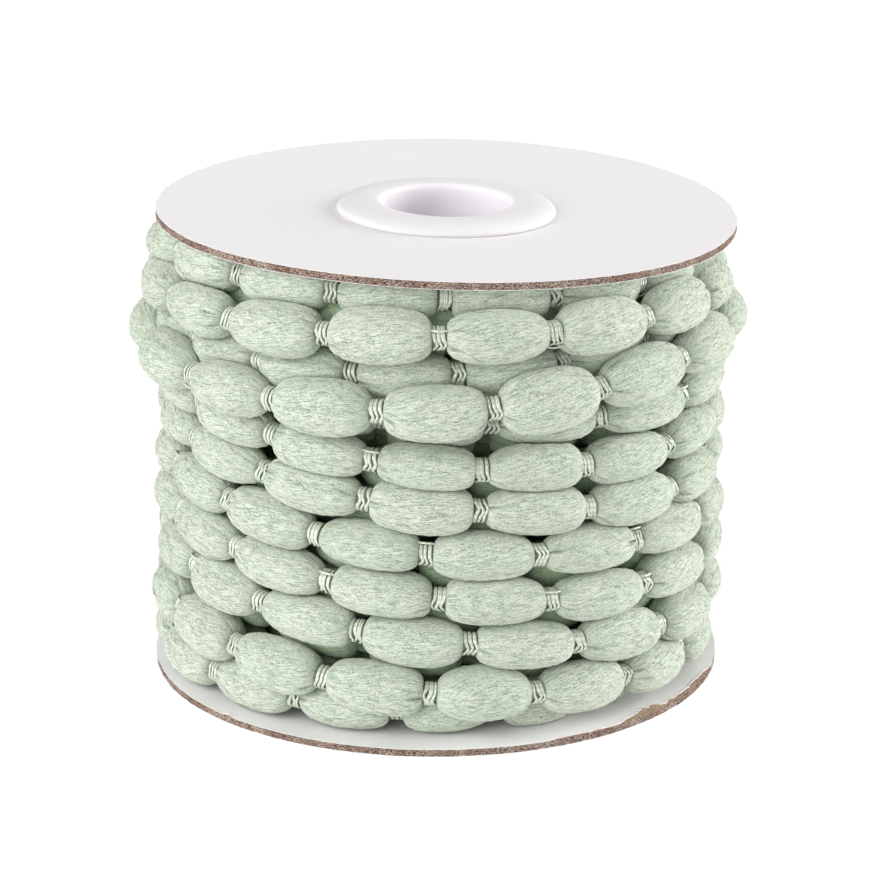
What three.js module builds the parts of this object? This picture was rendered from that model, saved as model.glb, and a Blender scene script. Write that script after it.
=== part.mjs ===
// Roll of pom-pom trim: a long chain of padded oval pom-poms, bound at every neck, wound on a spool of
// two paper-faced board discs and a moulded core. Millimetres, +Z up, the photographed side towards -Y.
// The origin is on the floor, at the middle of the lower disc.
import * as THREE from "three";

// Spool
const DISC_RADIUS = 45;
const DISC_THICKNESS = 1.2;
const DISC_SIDES = 72;
const SPOOL_HEIGHT = 73.4; // from the lower disc's underside to the upper disc's top face
const UPPER_SHIFT = 1.7; // the upper disc sits this far to the right of the lower one
const UPPER_TILT = THREE.MathUtils.degToRad(1.47); // and its right side hangs lower
const BORE_RADIUS = 10;
const SPIGOT_RADIUS = 11.6; // the core's ends, inside the discs' holes
const BARREL_RADIUS = 12.6; // the core between the discs
const RIM_RADIUS = 16.8; // the rim rolled over the upper disc
const RIM_HEIGHT = 1.5; // above the upper disc's top face
const MOUTH_ROUND = 2.6; // flare where the bore opens in the rim
const ROUND_STEPS = 4;
const CORE_SIDES = 48;
const GAP = 0.3; // between neighbouring pieces
const RIM_ROUND = RIM_HEIGHT - GAP; // the rim's outer edge is round down to the disc

// Trim
const NECK_RADIUS = 2;
const POMPOMS_PER_TURN = 16;
const FRONT_POMPOMS = 6; // the pom-poms of each turn that face the front
const LEAD_POMPOMS = 5; // those before the first turn's front, tucked under the upper disc
const TUCK_POMPOMS = 1; // the chain's two ends run out under the discs over this many pom-poms
const SIDE_ANGLE = 70; // degrees from the front at which the table gives a turn's left and right
const WOUND_RADIUS = 36; // the turns underneath, where they meet the discs
const CLEFT_DEPTH = 2.8; // deepest that a cleft between two turns lies inside their centre lines
const CLEFT_MARGIN = 0.2; // share of the rise between two turns that a cleft keeps from each of them
// One pom-pom near the front is much fuller than its neighbours.
const FULL_POMPOM = { turn: 3, radius: 4.8 };

// One pom-pom's stations, from the middle of the neck before it: how far along the pitch, and how much of
// the way from the neck's radius to the pom-pom's.
const POMPOM_STATIONS = [
  { along: 0.055, swell: 0 },
  { along: 0.17, swell: 0.74 },
  { along: 0.5, swell: 1 },
  { along: 0.83, swell: 0.74 },
  { along: 0.945, swell: 0 },
];

// The heights at which a turn's section is taken, as shares of its reach up to the turn above and down to
// the one below.
const SECTION_SHARES = [0.92, 0.45, -0.45, -0.92];

// The outer turns from top to bottom: the centre line's height (z) and radius (r) at the left, front, right
// and back, the angle of a neck near the front, the angle from neck to neck there, and a pom-pom's radius.
const TURN_COLUMNS = [
  "zLeft", "zFront", "zRight", "rLeft", "rFront", "rRight", "rBack", "neck", "pitch", "pompom",
];
const TURNS = [
  [69.6, 69.2, 67.2, 40.0, 38.6, 38.4, 39.8, 1.9, 24.2, 3.75],
  [63.6, 64.8, 63.4, 42.2, 43.6, 42.4, 42.5, 0.7, 22.3, 4.05],
  [57.2, 58.1, 60.0, 40.0, 39.8, 39.5, 41.5, 4.7, 22.3, 3.75],
  [54.2, 53.9, 56.9, 44.0, 44.5, 44.5, 44.8, 10.8, 21.6, 4.1],
  [51.5, 50.4, 48.9, 36.8, 37.8, 42.0, 41.0, 12.2, 24.2, 3.75],
  [48.9, 44.2, 41.9, 40.6, 40.8, 42.0, 41.0, 9.4, 22.6, 3.75],
  [42.0, 37.9, 34.6, 40.4, 40.8, 42.0, 41.2, 9.0, 23.7, 3.75],
  [35.2, 30.7, 28.3, 40.6, 40.8, 42.0, 41.2, -2.0, 23.6, 3.75],
  [28.2, 23.7, 20.8, 40.7, 40.8, 42.0, 41.2, 0.6, 23.6, 3.75],
  [21.0, 17.0, 12.8, 40.7, 41.0, 41.8, 41.0, 7.0, 23.3, 3.75],
  [12.8, 8.9, 6.3, 41.8, 41.8, 40.6, 40.8, -1.2, 22.2, 4.1],
  [5.4, 5.2, 3.8, 41.4, 38.2, 34.5, 35.0, -8.8, 22.7, 3.75],
].map((row) => Object.fromEntries(row.map((value, column) => [TURN_COLUMNS[column], value])));

const BOARD = new THREE.MeshStandardMaterial({ color: 0xeeebee, roughness: 0.75, metalness: 0 });
const MOULDED_PLASTIC = new THREE.MeshStandardMaterial({ color: 0xf4f3f6, roughness: 0.4, metalness: 0 });
const SAGE_PLUSH = new THREE.MeshStandardMaterial({ color: 0xbed2be, roughness: 0.95, metalness: 0 });

const STEPS = POMPOM_STATIONS.length;
const TURN_STEPS = POMPOMS_PER_TURN * STEPS;

// The spool leans: its axis runs from the lower disc's middle to the upper disc's, and level lines on it
// tip with that.
function leanShift(z) {
  return (UPPER_SHIFT * z) / SPOOL_HEIGHT;
}

function leanDrop(x, z) {
  return (x * Math.tan(UPPER_TILT) * z) / SPOOL_HEIGHT;
}

// Height of the upper disc's underside above a place on the floor.
function upperUnderside(x) {
  return SPOOL_HEIGHT - DISC_THICKNESS - (x - UPPER_SHIFT) * Math.tan(UPPER_TILT);
}

// Points of a quarter round from one angle to another, in a radius and height plane.
function roundPoints(radius, height, round, fromDegrees, toDegrees) {
  const from = THREE.MathUtils.degToRad(fromDegrees);
  const to = THREE.MathUtils.degToRad(toDegrees);
  return new THREE.EllipseCurve(radius, height, round, round, from, to).getPoints(ROUND_STEPS);
}

// A closed profile of radius and height, turned about +Z.
function turned(profile, sides) {
  const closed = [...profile, profile[0]];
  const geometry = new THREE.LatheGeometry(closed, sides);
  geometry.rotateX(Math.PI / 2);
  return geometry;
}

function discGeometry() {
  const hole = SPIGOT_RADIUS + GAP;
  const profile = [
    new THREE.Vector2(hole, 0),
    new THREE.Vector2(DISC_RADIUS, 0),
    new THREE.Vector2(DISC_RADIUS, DISC_THICKNESS),
    new THREE.Vector2(hole, DISC_THICKNESS),
  ];
  return turned(profile, DISC_SIDES);
}

// The core: a tube that stands in both discs, shouldered between them and rolled over the upper one.
function coreGeometry() {
  const rimUnder = SPOOL_HEIGHT + GAP;
  const rimTop = SPOOL_HEIGHT + RIM_HEIGHT;
  const upperShoulder = SPOOL_HEIGHT - DISC_THICKNESS - GAP;
  const lowerShoulder = DISC_THICKNESS + GAP;
  const profile = [
    new THREE.Vector2(BORE_RADIUS, 0),
    new THREE.Vector2(SPIGOT_RADIUS, 0),
    new THREE.Vector2(SPIGOT_RADIUS, lowerShoulder),
    new THREE.Vector2(BARREL_RADIUS, lowerShoulder),
    new THREE.Vector2(BARREL_RADIUS, upperShoulder),
    new THREE.Vector2(SPIGOT_RADIUS, upperShoulder),
    new THREE.Vector2(SPIGOT_RADIUS, rimUnder),
    ...roundPoints(RIM_RADIUS - RIM_ROUND, rimUnder, RIM_ROUND, 0, 90),
    ...roundPoints(BORE_RADIUS + MOUTH_ROUND, rimTop - MOUTH_ROUND, MOUTH_ROUND, 90, 180),
  ];
  const geometry = turned(profile, CORE_SIDES);
  const points = geometry.getAttribute("position");
  for (let i = 0; i < points.count; i += 1) {
    const x = points.getX(i);
    const z = points.getZ(i);
    points.setX(i, x + leanShift(z));
    points.setZ(i, z - leanDrop(x, z));
  }
  return geometry;
}

// The chain's centre line: radius and height for an angle that grows by 360 a turn, 0 being the front of
// the top turn.
function centreLine() {
  const angles = [];
  const values = [];
  TURNS.forEach((turn, k) => {
    const next = TURNS[Math.min(k + 1, TURNS.length - 1)];
    const zBack = (turn.zRight + next.zLeft) / 2;
    angles.push(360 * k - SIDE_ANGLE, 360 * k, 360 * k + SIDE_ANGLE, 360 * k + 180);
    values.push(turn.rLeft, turn.zLeft, turn.rFront, turn.zFront);
    values.push(turn.rRight, turn.zRight, turn.rBack, zBack);
  });
  const line = new THREE.CubicInterpolant(angles, values, 2);
  return (angle) => {
    const within = THREE.MathUtils.clamp(angle, angles[0], angles[angles.length - 1]);
    const [radius, height] = line.evaluate(within);
    return { radius, height };
  };
}

// Angles of all the necks along the chain: at the table's places across the front of each turn, and evenly
// spread round the back to the next turn.
function neckAngles() {
  const reach = FRONT_POMPOMS / 2;
  const backPompoms = POMPOMS_PER_TURN - FRONT_POMPOMS;
  const necks = [];
  for (let j = LEAD_POMPOMS; j > 0; j -= 1) {
    necks.push(TURNS[0].neck - (reach + j) * TURNS[0].pitch);
  }
  TURNS.forEach((turn, k) => {
    for (let j = -reach; j <= reach; j += 1) {
      necks.push(360 * k + turn.neck + j * turn.pitch);
    }
    if (k === TURNS.length - 1) return;
    const next = TURNS[k + 1];
    const from = 360 * k + turn.neck + reach * turn.pitch;
    const to = 360 * (k + 1) + next.neck - reach * next.pitch;
    for (let j = 1; j < backPompoms; j += 1) {
      necks.push(from + ((to - from) * j) / backPompoms);
    }
  });
  return necks;
}

// Radius of the pom-pom that follows a neck.
function pompomRadius(neck) {
  const turn = THREE.MathUtils.clamp(Math.round(neck / 360), 0, TURNS.length - 1);
  const isFull = turn === FULL_POMPOM.turn && neck === 360 * turn + TURNS[turn].neck;
  return isFull ? FULL_POMPOM.radius : TURNS[turn].pompom;
}

// The chain as stations along its length: angle, section radius, and the centre line's radius and height.
function chainStations() {
  const lineAt = centreLine();
  const necks = neckAngles();
  const stations = [];
  for (let n = 0; n + 1 < necks.length; n += 1) {
    POMPOM_STATIONS.forEach(({ along, swell }) => {
      const angle = necks[n] + (necks[n + 1] - necks[n]) * along;
      const thick = NECK_RADIUS + (pompomRadius(necks[n]) - NECK_RADIUS) * swell;
      stations.push({ angle, thick, ...lineAt(angle) });
    });
  }
  const last = necks[necks.length - 1];
  stations.push({ angle: last, thick: NECK_RADIUS, ...lineAt(last) });
  return stations;
}

function around(angleDegrees, radius, z) {
  const angle = THREE.MathUtils.degToRad(angleDegrees);
  return new THREE.Vector3(radius * Math.sin(angle), -radius * Math.cos(angle), z);
}

// The wound trim: its outer turns as one skin of pom-poms, necks and clefts, closed over the discs and down
// the barrel.
function windingGeometry() {
  const stations = chainStations();
  const last = stations.length - 1;
  const points = [];
  const faces = [];

  function place(point) {
    points.push(point);
    return points.length - 1;
  }

  function patch(a, b, c, d) {
    [[a, b, c], [a, c, d]].forEach(([p, q, r]) => {
      if (p !== q && q !== r && r !== p) faces.push(p, q, r);
    });
  }

  // Edges where the outer skin meets the discs.
  function upperEdge(angle) {
    const flat = around(angle, WOUND_RADIUS, 0);
    return flat.setZ(upperUnderside(flat.x) - GAP);
  }

  function lowerEdge(angle) {
    return around(angle, WOUND_RADIUS, DISC_THICKNESS + GAP);
  }

  // How much of its full form the chain has at a station, and the disc's edge that it runs out to.
  function tuck(i) {
    const fromStart = i / (TUCK_POMPOMS * STEPS);
    const fromEnd = (last - i) / (TUCK_POMPOMS * STEPS);
    const share = THREE.MathUtils.smoothstep(Math.min(fromStart, fromEnd), 0, 1);
    const edge = fromStart < fromEnd ? upperEdge(stations[i].angle) : lowerEdge(stations[i].angle);
    return { share, edge };
  }

  // Cleft between a station and the one a turn further on: where their round sections meet, or a pit
  // between them where they stand apart.
  function cleftPoint(i) {
    const upper = stations[i];
    const lower = stations[i + TURN_STEPS];
    const rise = upper.height - lower.height;
    const out = upper.radius - lower.radius;
    const apart = Math.hypot(rise, out);
    const thick = (upper.thick + lower.thick) / 2;
    const overlap = thick ** 2 - (apart / 2) ** 2;
    const touch = Math.max(Math.sign(overlap) * Math.sqrt(Math.abs(overlap)), -CLEFT_DEPTH);
    const reach = touch > 0 ? (touch * rise) / apart : touch;
    const lift = touch > 0 ? (-touch * out) / apart : 0;
    const share = THREE.MathUtils.clamp(0.5 + lift / rise, CLEFT_MARGIN, 1 - CLEFT_MARGIN);
    const angle = (upper.angle + lower.angle - 360) / 2;
    const radius = (upper.radius + lower.radius) / 2 + reach;
    return around(angle, radius, lower.height + rise * share);
  }

  const upperEdgeIds = [];
  for (let i = 0; i < TURN_STEPS; i += 1) {
    upperEdgeIds.push(place(upperEdge(stations[i].angle)));
  }
  const lowerEdgeIds = [];
  for (let i = last - TURN_STEPS + 1; i <= last; i += 1) {
    lowerEdgeIds.push(place(lowerEdge(stations[i].angle)));
  }
  const chainEnd = lowerEdgeIds[TURN_STEPS - 1];

  // The line below each station: a cleft, or the lower disc's edge under the last turn.
  const belowIds = stations.map((station, i) => {
    if (i === 0) return upperEdgeIds[0];
    if (i > last - TURN_STEPS) return lowerEdgeIds[i - (last - TURN_STEPS + 1)];
    if (i === last - TURN_STEPS) return chainEnd;
    const { share, edge } = tuck(i);
    return place(i < TUCK_POMPOMS * STEPS ? edge.lerp(cleftPoint(i), share) : cleftPoint(i));
  });

  // The line above each station: the upper disc's edge over the first turn, or the turn above's cleft.
  function aboveId(i) {
    return i < TURN_STEPS ? upperEdgeIds[i] : belowIds[i - TURN_STEPS];
  }

  const columns = stations.map((station, i) => {
    const above = aboveId(i);
    const below = belowIds[i];
    if (i === 0) return [above, ...SECTION_SHARES.map(() => above), below];
    if (i === last) return [above, ...SECTION_SHARES.map(() => below), below];
    const up = Math.min(station.thick, points[above].z - station.height);
    const down = Math.min(station.thick, station.height - points[below].z);
    const { share, edge } = tuck(i);
    const section = SECTION_SHARES.map((part) => {
      const rise = part * (part > 0 ? up : down);
      const out = Math.sqrt(station.thick ** 2 - rise ** 2);
      const full = around(station.angle, station.radius + out, station.height + rise);
      return place(edge.clone().lerp(full, share));
    });
    return [above, ...section, below];
  });

  for (let i = 0; i < last; i += 1) {
    const left = columns[i];
    const right = columns[i + 1];
    for (let j = 0; j + 1 < left.length; j += 1) {
      patch(left[j], left[j + 1], right[j + 1], right[j]);
    }
  }

  // The winding's inside, on the leaning barrel, and its two flat ends.
  const innerRadius = BARREL_RADIUS + GAP;
  const innerUpper = upperEdgeIds.map((id, i) => {
    const flat = around(stations[i].angle, innerRadius, 0);
    const x = flat.x + leanShift(SPOOL_HEIGHT - DISC_THICKNESS - GAP);
    return place(flat.setX(x).setZ(upperUnderside(x) - GAP));
  });
  const innerLower = upperEdgeIds.map((id, i) => {
    const flat = around(stations[i].angle, innerRadius, DISC_THICKNESS + GAP);
    return place(flat.setX(flat.x + leanShift(DISC_THICKNESS + GAP)));
  });
  const turnsApart = (stations[last - TURN_STEPS + 1].angle - stations[0].angle) / 360;
  const offset = Math.round((turnsApart - Math.floor(turnsApart)) * TURN_STEPS);
  for (let i = 0; i < TURN_STEPS; i += 1) {
    const next = (i + 1) % TURN_STEPS;
    const outer = (i + TURN_STEPS - offset) % TURN_STEPS;
    const outerNext = (outer + 1) % TURN_STEPS;
    patch(upperEdgeIds[i], upperEdgeIds[next], innerUpper[next], innerUpper[i]);
    patch(innerUpper[i], innerUpper[next], innerLower[next], innerLower[i]);
    patch(lowerEdgeIds[outer], innerLower[i], innerLower[next], lowerEdgeIds[outerNext]);
  }

  const geometry = new THREE.BufferGeometry().setFromPoints(points);
  geometry.setIndex(faces);
  return geometry;
}

function piece(name, geometry, material) {
  geometry.computeVertexNormals();
  const mesh = new THREE.Mesh(geometry, material);
  mesh.name = name;
  return mesh;
}

const upperEnd = new THREE.Group();
upperEnd.position.set(UPPER_SHIFT, 0, SPOOL_HEIGHT);
upperEnd.rotation.y = UPPER_TILT;
const upperDisc = piece("upper_disc", discGeometry(), BOARD);
upperDisc.position.z = -DISC_THICKNESS;
upperEnd.add(upperDisc);

const roll = new THREE.Group();
roll.add(piece("lower_disc", discGeometry(), BOARD));
roll.add(upperEnd);
roll.add(piece("core", coreGeometry(), MOULDED_PLASTIC));
roll.add(piece("wound_trim", windingGeometry(), SAGE_PLUSH));

export default roll;
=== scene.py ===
# %% [markdown]
# # Roll of pom-pom trim
# A long chain of plush oval pom-poms, each bound off from the next with shiny thread, wound on a spool of
# two paper-faced board discs and a moulded core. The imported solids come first, as a fixed frame. Every
# piece below is worked out in millimetres in that same frame and its mesh is written in metres, so
# nothing has to be fitted afterwards.

# %% Load the frame
import math

import bpy
import numpy as np
from mathutils import Matrix, Vector


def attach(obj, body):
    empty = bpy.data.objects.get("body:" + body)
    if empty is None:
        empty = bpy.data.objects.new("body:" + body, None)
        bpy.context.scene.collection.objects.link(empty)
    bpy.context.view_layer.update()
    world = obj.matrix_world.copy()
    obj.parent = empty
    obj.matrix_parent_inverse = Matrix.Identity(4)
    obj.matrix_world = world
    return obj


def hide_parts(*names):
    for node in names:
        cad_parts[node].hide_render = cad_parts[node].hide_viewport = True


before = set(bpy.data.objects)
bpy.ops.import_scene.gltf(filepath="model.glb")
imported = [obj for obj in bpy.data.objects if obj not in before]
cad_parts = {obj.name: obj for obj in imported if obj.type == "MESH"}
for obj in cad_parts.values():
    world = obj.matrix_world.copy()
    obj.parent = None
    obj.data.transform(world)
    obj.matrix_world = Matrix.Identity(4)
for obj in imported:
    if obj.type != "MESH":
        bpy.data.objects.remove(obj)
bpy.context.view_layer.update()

MM = 0.001
scene = bpy.context.scene
print("frame nodes:", sorted(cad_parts))

# %% [markdown]
# Colours are easiest to read off a picture as sRGB hex values, but shaders work in linear light, so one
# function converts them. A second small function adds any shader node with its settings and links, which
# keeps a material short enough to read from top to bottom. A node's inputs go by name, or are counted
# from 0. Of a Map Range node, 1 and 2 are the range that comes in, 3 and 4 the range that goes out. Of a
# Mix node for colours, 0 is the share of the second colour, and 6 and 7 are the two colours.

# %% Colours and shader nodes


def linear(hex_colour):
    """An sRGB hex colour as linear red, green, blue and alpha."""
    parts = [int(hex_colour[i : i + 2], 16) / 255 for i in (1, 3, 5)]
    return [p / 12.92 if p <= 0.04045 else ((p + 0.055) / 1.055) ** 2.4 for p in parts] + [1.0]


def new_material(name):
    material = bpy.data.materials.new(name)
    material.use_nodes = True
    material.node_tree.nodes.clear()
    return material


def add_node(material, kind, inputs=None, **settings):
    """Adds one node with its settings. Each input is a value, or the output that feeds it."""
    tree = material.node_tree
    made = tree.nodes.new("ShaderNode" + kind)
    for name, value in settings.items():
        setattr(made, name, value)
    for socket, value in (inputs or {}).items():
        if isinstance(value, bpy.types.NodeSocket):
            tree.links.new(value, made.inputs[socket])
        else:
            made.inputs[socket].default_value = value
    return made


print("white is", linear("#ffffff"))

# %% [markdown]
# The trim is hundreds of small things, and one object for each would be slow. Points and faces are worked
# out as arrays instead and joined into a few meshes. Nearly every form here is a tube: rows of points,
# each row closed to a ring by its columns.

# %% Faces of tubes


def tube_faces(rows, columns, copies=1):
    """Four-sided faces over copies of a tube of rows by columns of points."""
    row, column = np.meshgrid(np.arange(rows - 1), np.arange(columns), indexing="ij")
    beside = (column + 1) % columns
    above = row * columns
    below = above + columns
    tube = np.stack([above + column, above + beside, below + beside, below + column], axis=-1)
    starts = np.arange(copies)[:, None, None] * rows * columns
    return (tube.reshape(1, -1, 4) + starts).reshape(-1, 4)


def shut_tube_faces(rows, columns, copies=1):
    """The same, with many-sided faces that shut both ends of each tube."""
    first = np.arange(columns)[::-1]
    last = (rows - 1) * columns + np.arange(columns)
    starts = np.arange(copies)[:, None, None] * rows * columns
    ends = (np.stack([first, last])[None] + starts).reshape(-1, columns)
    return [tube_faces(rows, columns, copies), ends]


print("a tube of 3 rows of 4 points has", len(tube_faces(3, 4)), "faces")

# %% [markdown]
# One function turns such arrays into an object. Blender takes whole arrays at once, which is far quicker
# than adding points one by one. Numbers that a finish needs at each point are stored on the mesh as well.
# A second function tells the frame which solids a piece stands for.

# %% Objects from arrays


def joined_mesh(name, points, faces, material, attributes=None, sharp=None):
    """One object from points in mm and lists of faces. Attributes are three numbers for each point."""
    mesh = bpy.data.meshes.new(name)
    points = points.reshape(-1, 3)
    corners = np.concatenate([f.ravel() for f in faces])
    sizes = np.concatenate([np.full(len(f), f.shape[1]) for f in faces])
    mesh.vertices.add(len(points))
    mesh.vertices.foreach_set("co", (points * MM).astype(np.float32).ravel())
    mesh.loops.add(len(corners))
    mesh.loops.foreach_set("vertex_index", corners.astype(np.int32))
    mesh.polygons.add(len(sizes))
    mesh.polygons.foreach_set("loop_start", (np.cumsum(sizes) - sizes).astype(np.int32))
    mesh.polygons.foreach_set("use_smooth", np.ones(len(sizes), dtype=bool))
    mesh.update(calc_edges=True)
    for key, values in (attributes or {}).items():
        layer = mesh.attributes.new(key, "FLOAT_VECTOR", "POINT")
        layer.data.foreach_set("vector", values.astype(np.float32).ravel())
    if sharp:
        mesh.set_sharp_from_angle(angle=math.radians(sharp))
    mesh.materials.append(material)
    piece = bpy.data.objects.new(name, mesh)
    scene.collection.objects.link(piece)
    print(name, "has", int((sizes - 2).sum()), "triangles")
    return piece


def stands_for(piece, slot, *nodes):
    """The piece rides on the one body and stands for these solids, which it hides. The slot is not used."""
    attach(piece, "root")
    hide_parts(*nodes)


# %% [markdown]
# The picture was taken from a little above, with a long lens, against white. The camera's place was
# worked out from the outlines of the two discs: an oval's width and height give its distance and how far
# it is tipped.

# %% Camera
CAMERA_PLACE = (0, -0.51549, 0.20380)
CAMERA_DIRECTION = (0.001286, 0.950398, -0.311033)
LENS_LENGTH = 139.917
SENSOR_WIDTH = 36
camera = bpy.data.objects.new("camera", bpy.data.cameras.new("camera"))
camera.data.lens = LENS_LENGTH
camera.data.sensor_width = SENSOR_WIDTH
camera.location = CAMERA_PLACE
camera.rotation_euler = Vector(CAMERA_DIRECTION).to_track_quat("-Z", "Y").to_euler()
scene.collection.objects.link(camera)
scene.camera = camera
scene.view_settings.view_transform = "Standard"
print("camera looks down by", round(math.degrees(math.asin(-CAMERA_DIRECTION[2])), 1), "degrees")

# %% [markdown]
# The light is that of a white studio. A broad softbox at the front left gives the forms their shading, a
# small one at the left opens the shadows there, and a low one at the right, a little behind, brightens
# that side. White surroundings fill in the rest. The softboxes stand far off, so the floor is lit evenly.

# %% Light
LIGHT_TARGET = Vector((0, 0, 0.035))
SURROUNDINGS = 0.35
# Each softbox: its place and its width in metres, and its power in watts.
SOFTBOXES = {
    "front_left_softbox": ((-1.43, -1.71, 0.935), 2.4, 60.0),
    "left_softbox": ((-2.05, -0.36, 1.235), 1.6, 13.6),
    "right_softbox": ((2.29, 0.49, 0.575), 1.6, 76.0),
}
for name, (place, width, watts) in SOFTBOXES.items():
    light = bpy.data.lights.new(name, "AREA")
    light.size = width
    light.energy = watts
    holder = bpy.data.objects.new(name, light)
    holder.location = place
    holder.rotation_euler = (LIGHT_TARGET - Vector(place)).to_track_quat("-Z", "Y").to_euler()
    scene.collection.objects.link(holder)
studio = bpy.data.worlds.new("white_studio")
studio.use_nodes = True
studio.node_tree.nodes["Background"].inputs["Color"].default_value = linear("#ffffff")
studio.node_tree.nodes["Background"].inputs["Strength"].default_value = SURROUNDINGS
scene.world = studio
print(len(SOFTBOXES), "softboxes")

# %% [markdown]
# The roll stands on a white sweep that shows no edge and hardly a shadow, and throws light back up under
# the pom-poms. Matt grey with a glow of its own does that: it comes out white whichever way the light
# falls.

# %% Floor
FLOOR_WIDTH = 6.0
FLOOR_GLOW = 0.73
pale_floor = new_material("matt_white_sweep")
floor_shader = add_node(
    pale_floor,
    "BsdfPrincipled",
    {
        "Base Color": linear("#a0a0a0"),
        "Roughness": 0.9,
        "Emission Color": linear("#ffffff"),
        "Emission Strength": FLOOR_GLOW,
    },
)
add_node(pale_floor, "OutputMaterial", {"Surface": floor_shader.outputs[0]})
half = FLOOR_WIDTH / 2 / MM
floor_points = np.array([[-half, -half, 0], [half, -half, 0], [half, half, 0], [-half, half, 0]])
floor = joined_mesh("floor", floor_points, [np.array([[0, 1, 2, 3]])], pale_floor)

# %% [markdown]
# The winding is loose and uneven, so its turns wander: they climb, cross and stand out from each other.
# The table repeats the one that the solids were made from. Angles are in degrees from the front, growing
# to the right, and by 360 a turn from the top turn to the bottom one. A smooth line through the table's
# places gives the centre of the chain anywhere.

# %% The chain's centre line
SIDE_ANGLE = 70
# Each turn: height at the left, front and right; radius at the left, front, right and back; a neck's
# angle near the front, the angle from neck to neck there, and the radius of its pom-poms.
TURNS = np.array(
    [
        [69.6, 69.2, 67.2, 40.0, 38.6, 38.4, 39.8, 1.9, 24.2, 3.75],
        [63.6, 64.8, 63.4, 42.2, 43.6, 42.4, 42.5, 0.7, 22.3, 4.05],
        [57.2, 58.1, 60.0, 40.0, 39.8, 39.5, 41.5, 4.7, 22.3, 3.75],
        [54.2, 53.9, 56.9, 44.0, 44.5, 44.5, 44.8, 10.8, 21.6, 4.1],
        [51.5, 50.4, 48.9, 36.8, 37.8, 42.0, 41.0, 12.2, 24.2, 3.75],
        [48.9, 44.2, 41.9, 40.6, 40.8, 42.0, 41.0, 9.4, 22.6, 3.75],
        [42.0, 37.9, 34.6, 40.4, 40.8, 42.0, 41.2, 9.0, 23.7, 3.75],
        [35.2, 30.7, 28.3, 40.6, 40.8, 42.0, 41.2, -2.0, 23.6, 3.75],
        [28.2, 23.7, 20.8, 40.7, 40.8, 42.0, 41.2, 0.6, 23.6, 3.75],
        [21.0, 17.0, 12.8, 40.7, 41.0, 41.8, 41.0, 7.0, 23.3, 3.75],
        [12.8, 8.9, 6.3, 41.8, 41.8, 40.6, 40.8, -1.2, 22.2, 4.1],
        [5.4, 5.2, 3.8, 41.4, 38.2, 34.5, 35.0, -8.8, 22.7, 3.75],
    ]
)
Z_LEFT, Z_FRONT, Z_RIGHT, R_LEFT, R_FRONT, R_RIGHT, R_BACK, FIRST_NECK, NECK_PITCH, TURN_RADIUS = TURNS.T
# The chain starts round the back, before the first turn's left side.
LEAD_ANGLES = [-170.0, -95.0]
LEAD_RADII = [40.0, 41.5]
LEAD_HEIGHTS = [69.6, 68.2]

z_back = (Z_RIGHT + np.append(Z_LEFT[1:], Z_LEFT[-1])) / 2
turn_starts = 360.0 * np.arange(len(TURNS))
STATION_ANGLES = np.append(LEAD_ANGLES, turn_starts[:, None] + [-SIDE_ANGLE, 0, SIDE_ANGLE, 180])
STATION_RADII = np.append(LEAD_RADII, np.stack([R_LEFT, R_FRONT, R_RIGHT, R_BACK], axis=-1))
STATION_HEIGHTS = np.append(LEAD_HEIGHTS, np.stack([Z_LEFT, Z_FRONT, Z_RIGHT, z_back], axis=-1))
STATION_VALUES = np.stack([STATION_RADII, STATION_HEIGHTS], axis=-1)
STATION_SLOPES = np.zeros_like(STATION_VALUES)
two_spans = (STATION_ANGLES[2:] - STATION_ANGLES[:-2])[:, None]
STATION_SLOPES[1:-1] = (STATION_VALUES[2:] - STATION_VALUES[:-2]) / two_spans


def outer_line(angle):
    """Radius and height of the outer turns' centre line at an angle."""
    within = np.clip(angle, STATION_ANGLES[0], STATION_ANGLES[-1])
    i = np.clip(np.searchsorted(STATION_ANGLES, within, side="right") - 1, 0, len(STATION_ANGLES) - 2)
    span = (STATION_ANGLES[i + 1] - STATION_ANGLES[i])[..., None]
    t = (within - STATION_ANGLES[i])[..., None] / span
    start = (2 * t**3 - 3 * t**2 + 1) * STATION_VALUES[i] + (t**3 - 2 * t**2 + t) * span * STATION_SLOPES[i]
    end = (3 * t**2 - 2 * t**3) * STATION_VALUES[i + 1] + (t**3 - t**2) * span * STATION_SLOPES[i + 1]
    return (start + end)[..., 0], (start + end)[..., 1]


print("the centre line runs through", len(STATION_ANGLES), "places")

# %% [markdown]
# Necks come at even steps across the front of each turn, as the picture shows them, and ten pom-poms fill
# the way round the back to the next turn. One pom-pom at the front is much fuller than its neighbours.

# %% Necks of the outer turns
FRONT_REACH = 3
BACK_POMPOMS = 10
LEAD_POMPOMS = 5
FULL_TURN = 3  # the fuller pom-pom comes after this turn's first neck
FULL_RADIUS = 4.8


def outer_necks():
    """Angles of all the necks: the table's across the front of each turn, evenly spread round the back."""
    necks = [FIRST_NECK[0] - (FRONT_REACH + j) * NECK_PITCH[0] for j in range(LEAD_POMPOMS, 0, -1)]
    for start, neck, pitch in zip(turn_starts, FIRST_NECK, NECK_PITCH):
        front = [start + neck + j * pitch for j in range(-FRONT_REACH, FRONT_REACH + 1)]
        if start > 0:
            necks += list(np.linspace(necks[-1], front[0], BACK_POMPOMS + 1)[1:-1])
        necks += front
    return np.array(necks)


OUTER_NECKS = outer_necks()
pompom_turn = np.clip(np.rint(OUTER_NECKS[:-1] / 360), 0, len(TURNS) - 1).astype(int)
OUTER_RADII = TURN_RADIUS[pompom_turn]
OUTER_RADII[np.isclose(OUTER_NECKS[:-1], turn_starts[FULL_TURN] + FIRST_NECK[FULL_TURN])] = FULL_RADIUS
print(len(OUTER_RADII), "pom-poms in the turns that show")

# %% [markdown]
# A place on the roll is easiest to give by an angle round it, a radius and a height. Anything that follows
# the chain also needs three directions there: along it, outwards and across.

# %% Directions along a chain


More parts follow.
